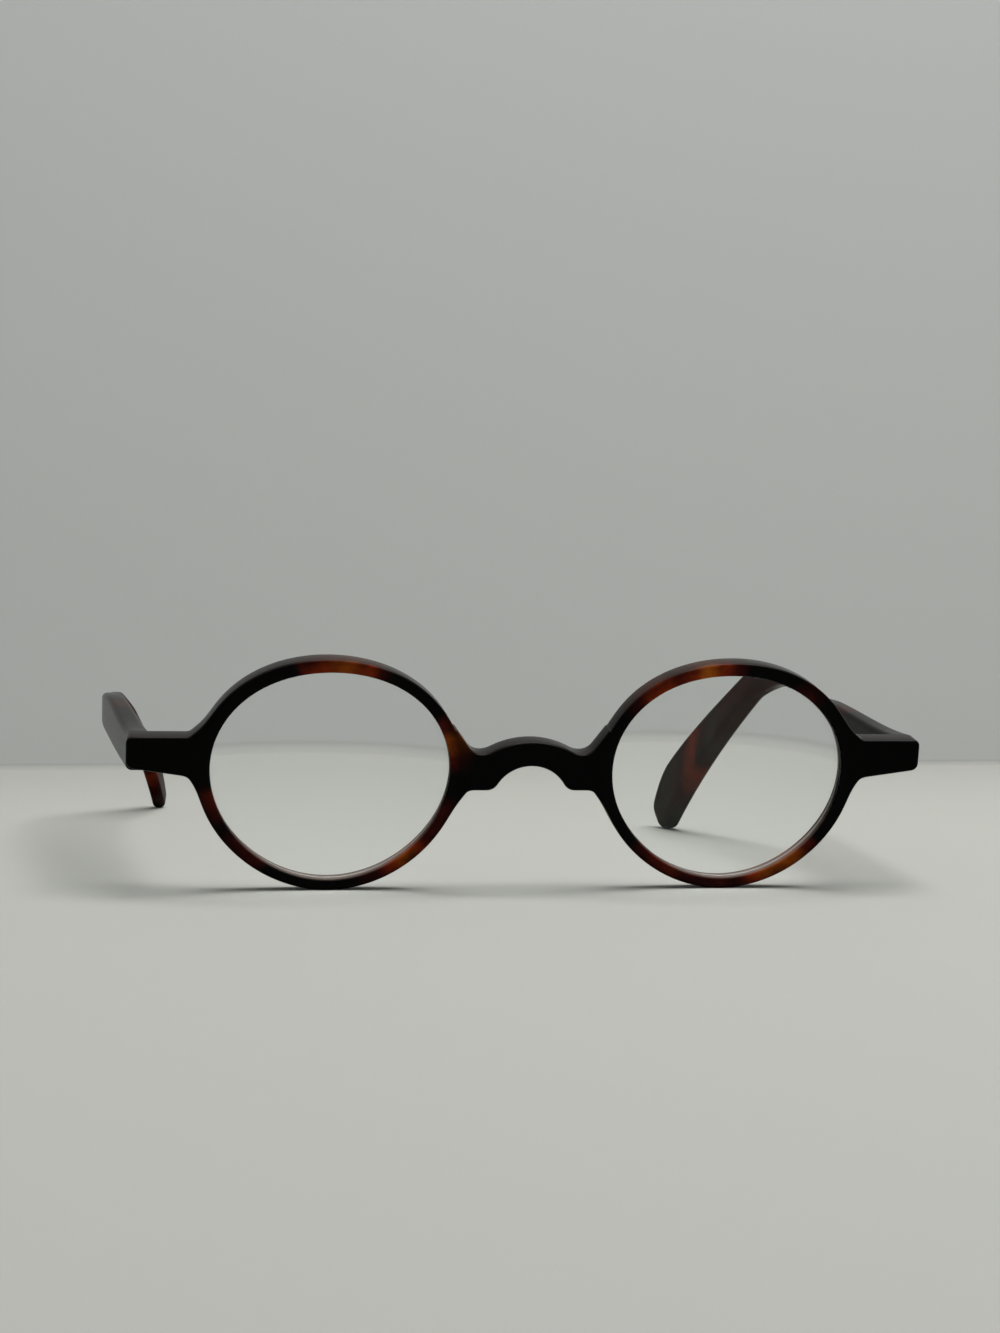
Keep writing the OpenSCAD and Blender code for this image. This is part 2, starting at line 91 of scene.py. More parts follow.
def bridge_top(x):
    """Upper edge of the bridge: the crown's arc, the dip's two arcs, then a straight climb."""
    inner = (dip_x ** 2 + (crown_z - dip_z) ** 2) / (2 * (crown_z - dip_z)) - crown_r
    d = x - dip_x
    d1 = dip_r * math.sin(dip_slope)
    climb = dip_z + dip_r * (1 - math.cos(dip_slope)) + (d - d1) * math.tan(dip_slope)
    crown = crown_z - crown_r + arc(crown_r, x)
    return np.select(
        [x < dip_x * crown_r / (crown_r + inner), d < 0, d < d1],
        [crown, dip_z + inner - arc(inner, d), dip_z + dip_r - arc(dip_r, d)],
        climb)


def bridge_bottom(x):
    """Lower edge of the bridge: the nose arch, a round step, a level foot and the rim's fillet."""
    arch_z = crown_z - bridge_h - arch_r
    foot_x = math.sqrt((arch_r + foot_r) ** 2 - (foot_r - foot_z - arch_z) ** 2)
    rim_r = rim_outside(math.radians(foot_at))
    fillet_x = lens_x - math.sqrt((rim_r + rim_fillet) ** 2 - (foot_z + rim_fillet) ** 2)
    d = np.clip(x - fillet_x, 0, rim_fillet * rim_fillet_share)
    return np.select(
        [x < foot_x * arch_r / (arch_r + foot_r), x < foot_x],
        [arch_z + arc(arch_r, x), foot_r - foot_z - arc(foot_r, foot_x - x)],
        -foot_z - rim_fillet + arc(rim_fillet, d))


def end_edges(x):
    """Upper and lower edge of an endpiece: level above, sloped below, both filleted to the rim."""
    def root(at):
        return end_fillet - arc(end_fillet, np.clip(at - x, 0, end_fillet * end_fillet_share))

    def root_x(rim_angle, rise):
        to_centre = rim_outside(math.radians(rim_angle)) + end_fillet
        return lens_x + math.sqrt(to_centre ** 2 - rise ** 2)

    foot = end_top - end_h - (end_x - lens_x - rim_outside(0)) * end_slope
    upper = end_top + root(root_x(end_top_at, end_top + end_fillet))
    lower = end_top - end_h - (end_x - x) * end_slope - root(root_x(end_foot_at, end_fillet - foot))
    return upper, lower


def front_outline(count):
    """The front's outer edge as a closed path, clockwise from the middle of the bridge.
    Bridge, rims and endpieces overlap: each curve keeps what lies outside the others, then the
    path is stepped evenly and smoothed along itself by a bell curve 0.25 mm wide."""
    bridge_end, end_root = lens_x - lens_a - rim_bite, lens_x + lens_a + rim_bite
    corner, bell_width, edge_samples, rim_samples = 2 * edge_r, 0.25, 900, 6000

    def clear_of_rim(x, z):
        dx = x - lens_x
        return np.hypot(dx, z) > rim_outside(np.arctan2(z, dx))

    def kept(x, z, keep):
        return (x + 1j * z)[keep]

    xb = np.linspace(0, bridge_end, edge_samples)
    xe = np.linspace(end_root, end_x - corner, edge_samples)
    a = np.radians(np.linspace(0, 90, 30))
    upper, lower = end_edges(xe)
    t = np.radians(np.linspace(180, -180, rim_samples))
    r = rim_outside(t)
    rx, rz = lens_x + r * np.cos(t), r * np.sin(t)
    eu, el = end_edges(rx)
    in_bridge = (rx < bridge_end) & (rz < bridge_top(rx)) & (rz > bridge_bottom(rx))
    in_end = (rx > end_root) & (rz < eu) & (rz > el)
    rim_clear = ~in_bridge & ~in_end
    tip_x = end_x - corner * (1 - np.sin(a))
    tip_top = end_top - corner * (1 - np.cos(a))
    tip_low = end_top - end_h - (end_x - tip_x) * end_slope + corner * (1 - np.cos(a))
    half = np.concatenate([
        kept(xb, bridge_top(xb), clear_of_rim(xb, bridge_top(xb))),
        kept(rx, rz, rim_clear & (t > 0)),
        kept(xe, upper, clear_of_rim(xe, upper)),
        tip_x + 1j * tip_top,
        (tip_x + 1j * tip_low)[::-1],
        kept(xe, lower, clear_of_rim(xe, lower))[::-1],
        kept(rx, rz, rim_clear & (t <= 0)),
        kept(xb, bridge_bottom(xb), clear_of_rim(xb, bridge_bottom(xb)))[::-1]])
    whole = np.concatenate([half, -half.conj()[::-1]])
    whole = whole[np.abs(np.diff(whole, append=whole[:1])) > 1e-6]
    closed = np.append(whole, whole[0])
    along = np.append(0, np.cumsum(np.abs(np.diff(closed))))
    even = np.linspace(0, along[-1], count, endpoint=False)
    path = np.interp(even, along, closed.real) + 1j * np.interp(even, along, closed.imag)
    waves = 2 * np.pi * np.fft.fftfreq(count, along[-1] / count)
    return np.fft.ifft(np.fft.fft(path) * np.exp(-(waves * bell_width) ** 2 / 2))


def round_edge(r, y0, y1, middle=()):
    """Profile across an edge, as (depth into the acetate, place through its thickness): a quarter
    circle at each face, with one more step on each flat face so that its shading stays flat."""
    a = np.radians(np.linspace(0, 90, 7))
    flat = r + 0.08
    front_arc = np.c_[r * (1 - np.sin(a)), y0 + r * (1 - np.cos(a))]
    back_arc = np.c_[front_arc[::-1, 0], y1 - (front_arc[::-1, 1] - y0)]
    return np.vstack([[(flat, y0)], front_arc, *[[m] for m in middle], back_arc, [(flat, y1)]])


def grid_faces(rows, columns, start=0, wrap_rows=True, wrap_columns=False):
    """Four-cornered faces over a grid of points that are numbered row by row from start."""
    i, j = np.meshgrid(
        np.arange(rows if wrap_rows else rows - 1),
        np.arange(columns if wrap_columns else columns - 1), indexing="ij")
    i, j = i.ravel(), j.ravel()
    i1, j1 = (i + 1) % rows, (j + 1) % columns
    return start + np.c_[i * columns + j, i1 * columns + j, i1 * columns + j1, i * columns + j1]


def new_piece(name, points, faces, sharp_angle=35):
    """Makes a mesh object in metres from points in millimetres, with its faces turned outwards
    and shaded smooth except where they meet at more than the sharp angle."""
    mesh = bpy.data.meshes.new(name)
    loops = np.concatenate([np.asarray(f, np.int32).ravel() for f in faces])
    totals = np.concatenate([np.full(len(f), np.shape(f)[1], np.int32) for f in faces])
    mesh.vertices.add(len(points))
    mesh.vertices.foreach_set("co", (np.asarray(points) / 1000).astype(np.float32).ravel())
    mesh.loops.add(len(loops))
    mesh.loops.foreach_set("vertex_index", loops)
    mesh.polygons.add(len(totals))
    mesh.polygons.foreach_set("loop_start", np.append(0, np.cumsum(totals)[:-1]).astype(np.int32))
    mesh.polygons.foreach_set("loop_total", totals)
    mesh.update(calc_edges=True)
    shell = bmesh.new()
    shell.from_mesh(mesh)
    bmesh.ops.recalc_face_normals(shell, faces=shell.faces)
    shell.to_mesh(mesh)
    shell.free()
    mesh.polygons.foreach_set("use_smooth", np.ones(len(mesh.polygons), bool))
    mesh.set_sharp_from_angle(angle=math.radians(sharp_angle))
    piece = bpy.data.objects.new(name, mesh)
    bpy.context.scene.collection.objects.link(piece)
    return piece


def on_front(p):
    """Turns points from the front's own frame, face at y = 0 and lens centres at z = 0, to the
    part's: leaned forward about the line through the lens centres, then raised and set back."""
    x, y, z = np.asarray(p, float).T
    return np.c_[x, y * math.cos(lean) - z * math.sin(lean) - middle_y,
                 front_z + y * math.sin(lean) + z * math.cos(lean)]


def flat_fill(loops):
    """Triangles that fill a flat face inside its first loop of points and outside the others."""
    return np.array(tessellate_polygon([[Vector((x, z, 0)) for x, z in loop] for loop in loops]))


edge_path = front_outline(count=1800)
heading = np.roll(edge_path, -1) - np.roll(edge_path, 1)
inward = -1j * heading / np.abs(heading)
outer_profile = round_edge(edge_r, 0, front_t)
outer = edge_path[:, None] + inward[:, None] * outer_profile[None, :, 0]
shells = [np.stack([outer.real, np.broadcast_to(outer_profile[:, 1], outer.shape), outer.imag], -1)]
groove_half = bevel_w / 2 + lens_gap
groove = [(0, groove_y - groove_half), (groove_d, groove_y), (0, groove_y + groove_half)]
inner_profile = round_edge(edge_r, 0, front_t, groove)
turn = np.linspace(0, 2 * np.pi, 480, endpoint=False)
for side in (-1, 1):
    reach = opening(turn)[:, None] + inner_profile[None, :, 0]
    shells.append(np.stack([
        side * (lens_x + reach * np.cos(turn)[:, None]),
        np.broadcast_to(inner_profile[:, 1], reach.shape),
        reach * np.sin(turn)[:, None]], -1))
front_points, front_quads, face_loops, back_loops, first = [], [], [], [], 0
for shell_points in shells:
    rows, columns = shell_points.shape[:2]
    front_quads.append(grid_faces(rows, columns, first))
    face_loops.append(first + np.arange(rows) * columns)
    back_loops.append(first + np.arange(rows) * columns + columns - 1)
    front_points.append(shell_points.reshape(-1, 3))
    first += rows * columns
# The hinge pockets: a rectangle in the back face, its four walls and its floor.
plate_v = (hinge_z - front_z - front_t * math.sin(lean)) / math.cos(lean)
plate_x0 = pivot_x + knuckle_r - front_plate_w - plate_gap
pocket_x = np.array([0, 1, 1, 0]) * (front_plate_w + 2 * plate_gap) + plate_x0
pocket_z = np.array([-1, -1, 1, 1]) * (plate_h / 2 + plate_gap) + plate_v
for side in (-1, 1):
    rim_of_pocket = np.c_[side * pocket_x, np.full(4, front_t), pocket_z]
    floor_of_pocket = rim_of_pocket - (0, plate_t + plate_gap, 0)
    front_points.append(np.vstack([rim_of_pocket, floor_of_pocket]))
    k = np.arange(4)
    front_quads.append(first + np.c_[k, (k + 1) % 4, (k + 1) % 4 + 4, k + 4])
    front_quads.append(first + np.array([[4, 5, 6, 7]]))
    back_loops.append(first + k)
    first += 8
front_points = np.vstack(front_points)
front_triangles = []
for loops in (face_loops, back_loops):
    numbers = np.concatenate(loops)
    fill = flat_fill([front_points[loop][:, [0, 2]] for loop in loops])
    front_triangles.append(numbers[fill])
front = new_piece("acetate_front", on_front(front_points), front_quads + front_triangles)
# Two marks on its points, for the material: how much painted sheen, a grey that stands in for the
# light caught where the skin faces up, covers the acetate's colour there, and whether the point lies
# in an opening.
normals = np.empty(len(front_points) * 3, np.float32)
front.data.vertices.foreach_get("normal", normals)
upward = np.clip(normals[2::3] / 0.7 - 0.35, 0, 1)
across, height = np.abs(front_points[:, 0]) - lens_x, front_points[:, 2]
in_opening = np.hypot(across, height) - opening(np.arctan2(height, across)) < 0.4
painted_sheen_weight = upward * np.where(in_opening, 0.95, 0.65)
for name, values in (("painted_sheen_weight", painted_sheen_weight), ("in_opening", in_opening)):
    mark = front.data.attributes.new(name, "FLOAT", "POINT")
    mark.data.foreach_set("value", values.astype(np.float32))


def linear(hex_colour):
    """A colour written as six hexadecimal digits, as the linear values that shaders take."""
    c = np.array([int(hex_colour[i:i + 2], 16) for i in (0, 2, 4)]) / 255
    return (*np.where(c <= 0.04045, c / 12.92, ((c + 0.055) / 1.055) ** 2.4), 1.0)


tones = {
    "ink": linear("030202"), "smoke": linear("261b18"), "oxblood": linear("260604"),
    "chestnut": linear("3c0d05"), "rust": linear("5c1c05"), "amber": linear("693007"),
    "honey": linear("80400d")}


def add(nodes, kind, values=None, **settings):
    """Adds a shader node and gives its settings and its unlinked sockets their values."""
    node = nodes.new(kind)
    for key, value in settings.items():
        setattr(node, key, value)
    for key, value in (values or {}).items():
        node.inputs[key].default_value = value
    return node


def tone_ramp(nodes, stops, span):
    """A colour ramp from a list of (place, tone), the places running from 0 to span."""
    ramp = add(nodes, "ShaderNodeValToRGB").color_ramp
    ramp.interpolation = "EASE"
    while len(ramp.elements) < len(stops):
        ramp.elements.new(1.0)
    for element, (place, tone) in zip(ramp.elements, stops):
        element.position = place / span
        element.color = tones[tone]
    return nodes[-1]


def wavering_place(nodes, links, amount, scale, detail):
    """The point on the piece, moved by up to about half the amount by smooth noise, so that the
    colours run into each other in irregular tongues."""
    place = add(nodes, "ShaderNodeTexCoord").outputs["Object"]
    noise = add(nodes, "ShaderNodeTexNoise", {"Scale": scale, "Detail": detail, "Roughness": 0.55})
    links.new(place, noise.inputs["Vector"])
    centred = add(nodes, "ShaderNodeVectorMath", {1: (0.5, 0.5, 0.5)}, operation="SUBTRACT")
    links.new(noise.outputs["Color"], centred.inputs[0])
    moved = add(nodes, "ShaderNodeVectorMath", {1: (amount,) * 3}, operation="MULTIPLY_ADD")
    links.new(centred.outputs[0], moved.inputs[0])
    links.new(place, moved.inputs[2])
    return place, moved.outputs[0]


def math_node(nodes, links, operation, a, b=None, clamp=False):
    """One step of arithmetic on two numbers or sockets."""
    node = add(nodes, "ShaderNodeMath", operation=operation, use_clamp=clamp)
    for socket, value in zip(node.inputs, (a, b)):
        if isinstance(value, (int, float)):
            socket.default_value = value
        elif value is not None:
            links.new(value, socket)
    return node.outputs[0]


def polished_acetate(nodes, links, place, colour, reflection):
    """Finishes the acetate: darker cloudy streaks inside the colour, a painted grey sheen where the
    mesh is marked as facing up, dark on the outer edges and pale in the openings, a polished skin of
    the given reflection whose gloss varies a little, and a very low waviness left by tumbling."""
    cloud = add(nodes, "ShaderNodeTexNoise", {
        "Scale": 420, "Detail": 4, "Roughness": 0.6, "Distortion": 0.8})
    links.new(place, cloud.inputs["Vector"])
    depth = add(nodes, "ShaderNodeMapRange", {
        "From Min": 0.3, "From Max": 0.7, "To Min": 0.62, "To Max": 1.18})
    links.new(cloud.outputs["Fac"], depth.inputs["Value"])
    shade = add(nodes, "ShaderNodeVectorMath", operation="SCALE")
    links.new(colour, shade.inputs[0])
    links.new(depth.outputs[0], shade.inputs["Scale"])
    skin = add(nodes, "ShaderNodeTexNoise", {"Scale": 900, "Detail": 3})
    links.new(place, skin.inputs["Vector"])
    gloss = add(nodes, "ShaderNodeMapRange", {"To Min": 0.13, "To Max": 0.24})
    links.new(skin.outputs["Fac"], gloss.inputs["Value"])
    wave = add(nodes, "ShaderNodeTexNoise", {"Scale": 160, "Detail": 1})
    links.new(place, wave.inputs["Vector"])
    bump = add(nodes, "ShaderNodeBump", {"Strength": 0.05, "Distance": 0.0004})
    links.new(wave.outputs["Fac"], bump.inputs["Height"])
    surface = add(nodes, "ShaderNodeBsdfPrincipled", {"IOR": 1.49, "Specular IOR Level": reflection})
    # Painted sheen: a dark grey on the outer edges and a pale grey in the openings are mixed into the
    # acetate's colour where the skin faces up, standing in for the light it catches there.
    outer_painted_sheen, opening_painted_sheen = (0.022, 0.019, 0.017, 1), (0.12, 0.095, 0.08, 1)
    grey = add(nodes, "ShaderNodeMix", {6: outer_painted_sheen, 7: opening_painted_sheen}, data_type="RGBA")
    in_opening = add(nodes, "ShaderNodeAttribute", attribute_name="in_opening")
    links.new(in_opening.outputs["Fac"], grey.inputs["Factor"])
    skinned = add(nodes, "ShaderNodeMix", data_type="RGBA")
    painted_sheen_weight = add(nodes, "ShaderNodeAttribute", attribute_name="painted_sheen_weight")
    links.new(painted_sheen_weight.outputs["Fac"], skinned.inputs["Factor"])
    links.new(shade.outputs[0], skinned.inputs[6])
    links.new(grey.outputs[2], skinned.inputs[7])
    links.new(skinned.outputs[2], surface.inputs["Base Color"])
    links.new(gloss.outputs[0], surface.inputs["Roughness"])
    links.new(bump.outputs[0], surface.inputs["Normal"])
    output = add(nodes, "ShaderNodeOutputMaterial")
    links.new(surface.outputs[0], output.inputs["Surface"])


def new_material(name):
    """An empty node material, with its nodes and links."""
    material = bpy.data.materials.new(name)
    material.use_nodes = True
    material.node_tree.nodes.clear()
    return material, material.node_tree.nodes, material.node_tree.links


# Tortoiseshell of the front: patches laid round each rim by their angle about the lens centre,
# counted from the viewer's right, with wavering borders.
right_rim = [
    (0, "ink"), (8, "chestnut"), (16, "amber"), (24, "chestnut"), (30, "ink"), (58, "ink"),
    (64, "oxblood"), (72, "rust"), (84, "amber"), (96, "rust"), (104, "chestnut"), (110, "ink"),
    (184, "ink"), (192, "chestnut"), (200, "oxblood"), (208, "ink"), (216, "oxblood"),
    (232, "oxblood"), (238, "ink"), (282, "ink"), (296, "oxblood"), (304, "rust"),
    (312, "amber"), (320, "rust"), (328, "oxblood"), (344, "oxblood"), (352, "ink"), (360, "ink")]
left_rim = [
    (0, "ink"), (36, "ink"), (48, "oxblood"), (58, "ink"), (82, "ink"), (88, "oxblood"),
    (96, "rust"), (104, "honey"), (112, "rust"), (120, "chestnut"), (128, "rust"), (136, "rust"),
    (144, "oxblood"), (152, "ink"), (216, "ink"), (224, "oxblood"), (232, "chestnut"),
    (240, "chestnut"), (248, "oxblood"), (280, "oxblood"), (288, "rust"), (296, "amber"),
    (312, "amber"), (320, "chestnut"), (328, "ink"), (360, "ink")]
material, nodes, links = new_material("tortoiseshell_front")
place, wavering = wavering_place(nodes, links, 0.0036, 190, 3)
split = add(nodes, "ShaderNodeSeparateXYZ")
links.new(wavering, split.inputs[0])
height = math_node(nodes, links, "SUBTRACT", split.outputs["Z"], front_z / 1000)
sides = []
for centre, stops in ((-lens_x, right_rim), (lens_x, left_rim)):
    across = math_node(nodes, links, "SUBTRACT", split.outputs["X"], centre / 1000)
    angle = math_node(nodes, links, "ARCTAN2", height, across)
    turns = math_node(nodes, links, "FRACT", math_node(nodes, links, "DIVIDE", angle, 2 * math.pi))
    ramp = tone_ramp(nodes, stops, 360)
    links.new(turns, ramp.inputs["Fac"])
    sides.append(ramp.outputs["Color"])
which = math_node(nodes, links, "GREATER_THAN", split.outputs["X"], 0.0)
both = add(nodes, "ShaderNodeMix", data_type="RGBA")
links.new(which, both.inputs["Factor"])
links.new(sides[0], both.inputs[6])
links.new(sides[1], both.inputs[7])
# The patches are brighter towards the opening and darker towards the rim's outside.
off_middle = math_node(nodes, links, "ABSOLUTE", split.outputs["X"])
place_on_rim = add(nodes, "ShaderNodeCombineXYZ")
across = math_node(nodes, links, "SUBTRACT", off_middle, lens_x / 1000)
links.new(math_node(nodes, links, "MULTIPLY", across, 1000 / lens_a), place_on_rim.inputs["X"])
links.new(math_node(nodes, links, "MULTIPLY", height, 1000 / lens_b), place_on_rim.inputs["Y"])
outward = add(nodes, "ShaderNodeVectorMath", operation="LENGTH")
links.new(place_on_rim.outputs[0], outward.inputs[0])
fade = add(nodes, "ShaderNodeMapRange", {
    "From Min": 1.02, "From Max": 1.11, "To Min": 1.85, "To Max": 0.45})
links.new(outward.outputs["Value"], fade.inputs["Value"])
faded = add(nodes, "ShaderNodeVectorMath", operation="SCALE")
links.new(both.outputs[2], faded.inputs[0])
links.new(fade.outputs[0], faded.inputs["Scale"])
# The bridge has none, only the darkest tone.
past_bridge = add(nodes, "ShaderNodeMapRange", {"From Min": 0.0092, "From Max": 0.0118})
links.new(off_middle, past_bridge.inputs["Value"])
swirl = add(nodes, "ShaderNodeMix", {6: tones["ink"]}, data_type="RGBA")
links.new(past_bridge.outputs[0], swirl.inputs["Factor"])
links.new(faded.outputs[0], swirl.inputs[7])
polished_acetate(nodes, links, place, swirl.outputs[2], 0.035)
front.data.materials.append(material)
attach(front, "front")
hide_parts("front")

# Lenses: clear meniscus lenses of about 3.7 dioptres, cut to the oval with a V bevel round the
# edge that is ground matt, and snapped into the grooves from behind.
lens_front_r, lens_back_r, land, bevel_gap, dome_rings = 75.0, 168.0, 0.12, 0.02, 40


def lens_shape():
    """Rings from the middle of the back round the edge to the middle of the front, in the front's
    own frame. Each surface is a sphere; the bevel is a V between two flat lands."""
    turn = np.linspace(0, 2 * np.pi, 240, endpoint=False)
    rim = opening(turn) - lens_gap
    reach = np.sin(np.linspace(0.02, 1, dome_rings) * np.pi / 2)
    back_edge, front_edge = groove_y + bevel_w / 2 + land, groove_y - bevel_w / 2 - land

    def dome(k, edge_y, r):
        rho = rim * k
        return rho, edge_y + arc(r, lens_a) - arc(r, rho)

    def flat(extra, y):
        return rim + extra, np.full(len(turn), y)

    rings = [dome(k, back_edge, lens_back_r) for k in reach]
    rings += [flat(0, groove_y + bevel_w / 2), flat(groove_d - bevel_gap, groove_y),
              flat(0, groove_y - bevel_w / 2)]
    rings += [dome(k, front_edge, lens_front_r) for k in reach[::-1]]
    rho, y = np.array([r[0] for r in rings]), np.array([r[1] for r in rings])
    return np.stack([rho * np.cos(turn), y, rho * np.sin(turn)], -1)


lens_grid = lens_shape()
rings, around = lens_grid.shape[:2]
lens_quads = grid_faces(rings, around, wrap_rows=False, wrap_columns=True)
bevel_rings = np.isin(lens_quads[:, 0] // around, np.arange(dome_rings - 1, dome_rings + 3))
clear, nodes, links = new_material("clear_lens")
glass = add(nodes, "ShaderNodeBsdfPrincipled", {
    "Base Color": (0.985, 0.995, 0.99, 1), "Roughness": 0.0, "IOR": 1.5, "Transmission Weight": 1.0,
    "Specular Tint": (0.3, 0.34, 0.32, 1)})
see_through = add(nodes, "ShaderNodeBsdfTransparent", {"Color": (0.93, 0.94, 0.935, 1)})
ray = add(nodes, "ShaderNodeLightPath")
lens_mix = add(nodes, "ShaderNodeMixShader")
output = add(nodes, "ShaderNodeOutputMaterial")
links.new(ray.outputs["Is Shadow Ray"], lens_mix.inputs["Fac"])
links.new(glass.outputs[0], lens_mix.inputs[1])
links.new(see_through.outputs[0], lens_mix.inputs[2])
links.new(lens_mix.outputs[0], output.inputs["Surface"])
ground, nodes, links = new_material("ground_lens_edge")
grain = add(nodes, "ShaderNodeTexNoise", {"Scale": 6000, "Detail": 2})
links.new(add(nodes, "ShaderNodeTexCoord").outputs["Object"], grain.inputs["Vector"])
frost = add(nodes, "ShaderNodeMapRange", {"To Min": 0.45, "To Max": 0.7})
links.new(grain.outputs["Fac"], frost.inputs["Value"])
# The ground edge is coloured warm taupe as a painted reflection: it stands in for the acetate's
# colour that the frosted glass picks up from the groove round it.
edge = add(nodes, "ShaderNodeBsdfPrincipled", {
    "Base Color": (0.2, 0.165, 0.15, 1), "IOR": 1.5, "Transmission Weight": 0.2})
links.new(frost.outputs[0], edge.inputs["Roughness"])
output = add(nodes, "ShaderNodeOutputMaterial")
links.new(edge.outputs[0], output.inputs["Surface"])
for side, name in ((-1, "right"), (1, "left")):
    points = (lens_grid.reshape(-1, 3) + (lens_x, 0, 0)) * (side, 1, 1)
    hubs = np.array([points[:around].mean(0), points[-around:].mean(0)])
    count = rings * around
    k = np.arange(around)
    back_fan = np.c_[np.full(around, count), k, (k + 1) % around]
    last = count - around
    front_fan = np.c_[np.full(around, count + 1), last + k, last + (k + 1) % around]
    lens = new_piece("lens_glass_" + name, on_front(np.vstack([points, hubs])),
                     [lens_quads, back_fan, front_fan], sharp_angle=30)
    lens.data.materials.append(clear)
    lens.data.materials.append(ground)
    marks = np.zeros(len(lens.data.polygons), np.int32)
    marks[:len(bevel_rings)] = bevel_rings
    lens.data.polygons.foreach_set("material_index", marks)
    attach(lens, "front")
    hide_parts("lens_" + name)

# Hinge leaves and screws: five-knuckle barrel hinges of nickel silver, milled and tumbled to a
# satin finish. Their plates are sunk into the acetate, and slotted screws hold the knuckles.
metal, nodes, links = new_material("satin_nickel_silver")
place = add(nodes, "ShaderNodeTexCoord").outputs["Object"]
stretch = add(nodes, "ShaderNodeMapping", {"Scale": (1, 1, 14)})
links.new(place, stretch.inputs["Vector"])
lines = add(nodes, "ShaderNodeTexNoise", {"Scale": 1500, "Detail": 4, "Roughness": 0.7})
links.new(stretch.outputs[0], lines.inputs["Vector"])
satin = add(nodes, "ShaderNodeMapRange", {"To Min": 0.24, "To Max": 0.42})
links.new(lines.outputs["Fac"], satin.inputs["Value"])
tint = add(nodes, "ShaderNodeMapRange", {"To Min": 0.85, "To Max": 1.05})
links.new(lines.outputs["Fac"], tint.inputs["Value"])
colour = add(nodes, "ShaderNodeVectorMath", {0: linear("b3b0a8")[:3]}, operation="SCALE")
links.new(tint.outputs[0], colour.inputs["Scale"])
surface = add(nodes, "ShaderNodeBsdfPrincipled", {"Metallic": 1.0})
links.new(colour.outputs[0], surface.inputs["Base Color"])
links.new(satin.outputs[0], surface.inputs["Roughness"])
bump = add(nodes, "ShaderNodeBump", {"Strength": 0.15, "Distance": 0.00005})
links.new(lines.outputs["Fac"], bump.inputs["Height"])
links.new(bump.outputs[0], surface.inputs["Normal"])
output = add(nodes, "ShaderNodeOutputMaterial")
links.new(surface.outputs[0], output.inputs["Surface"])
for part in ("front_hinge", "temple_hinge", "hinge_screw", "core_wire"):
    for name in ("right", "left"):
        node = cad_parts[part + "_" + name]
        node.data.materials.clear()
        node.data.materials.append(metal)

# Temples: cut from the same acetate, with a steel wire shot into each. They are bent down behind
# the ear over a heated form, widen to a paddle and end in a round tip, which the frame stands on.
temple_straight, bend_r, bend_rise, drop = 95.8, 12.5, 2.7, math.radians(43)
temple_h, temple_mid_h, bend_h, paddle_h = 6.5, 7.5, 4.2, 5.7
narrow_at, paddle_end, paddle_power = 0.25, 7.2, 1.5
tip_r, temple_t, tip_t, temple_edge_r = 1.65, 4.0, 2.6, 1.0
splay, toe = math.tan(math.radians(3.8)), math.tan(math.radians(12))
curl_start, curl_r, hook_in = 58.0, 234.0, 4.9
stop_gap, butt_step, pocket_end = 0.05, 0.1, 9.31
temple_z = front_z + end_top * math.cos(lean) + front_t * math.sin(lean) - temple_h - butt_step
temple_y = front_t / math.cos(lean) - (temple_z - front_z) * math.tan(lean)
bend_z = temple_z + bend_rise
bend_l = bend_r * drop
drop_l = (bend_z - (bend_r + tip_r) * (1 - math.cos(drop))) / math.sin(drop) + tip_r
temple_l = temple_straight + bend_l + drop_l
narrow, widest = temple_straight + bend_l * narrow_at, temple_l - paddle_end
curl_l = curl_r * (splay + toe)


def ease(k):
    """A smooth step from 0 to 1."""
    q = np.clip(k, 0, 1)
    return q * q * (3 - 2 * q)


def temple_height(s):
    """Height of the temple at a distance along it, blended between its four named heights."""
    mixed = [(temple_h, temple_mid_h, ease(2 * s / temple_straight)),
             (temple_mid_h, bend_h, ease((2 * s - temple_straight) / (2 * narrow - temple_straight))),
             (bend_h, paddle_h, ease((s - narrow) / (widest - narrow))),
             (paddle_h, 2 * tip_r, np.clip((s - widest) / paddle_end, 0, 1) ** paddle_power)]
    a, b, c, d = [low + (high - low) * k for low, high, k in mixed]
    return np.select([s < temple_straight / 2, s < narrow, s < widest], [a, b, c], d)


def at_temple(s, inset, h):
    """A point of the temple: along its lower edge by s (rising, round the ear bend, then down),
    up by h square to it, and in from the outer face, which splays out, toes in and hooks in."""
    turned = drop * np.clip((s - temple_straight) / bend_l, 0, 1)
    down = np.maximum(0, s - temple_straight - bend_l)
    y = (np.minimum(s, temple_straight) + bend_r * np.sin(turned)
         + down * np.cos(turned) + h * np.sin(turned))
    z = (temple_z + bend_rise * ease(s / temple_straight) - bend_r * (1 - np.cos(turned))
         - down * np.sin(turned) + h * np.cos(turned))
    c = np.clip(y - curl_start, 0, curl_l)
    k = z / (bend_z + bend_h)
    x = (end_x + y * splay - c * c / (2 * curl_r)
         - np.maximum(0, y - curl_start - curl_l) * curl_l / curl_r
         - hook_in * ease(turned / drop) * (1 - k * k))
    return np.stack([x - inset, temple_y + y - middle_y, z], -1)


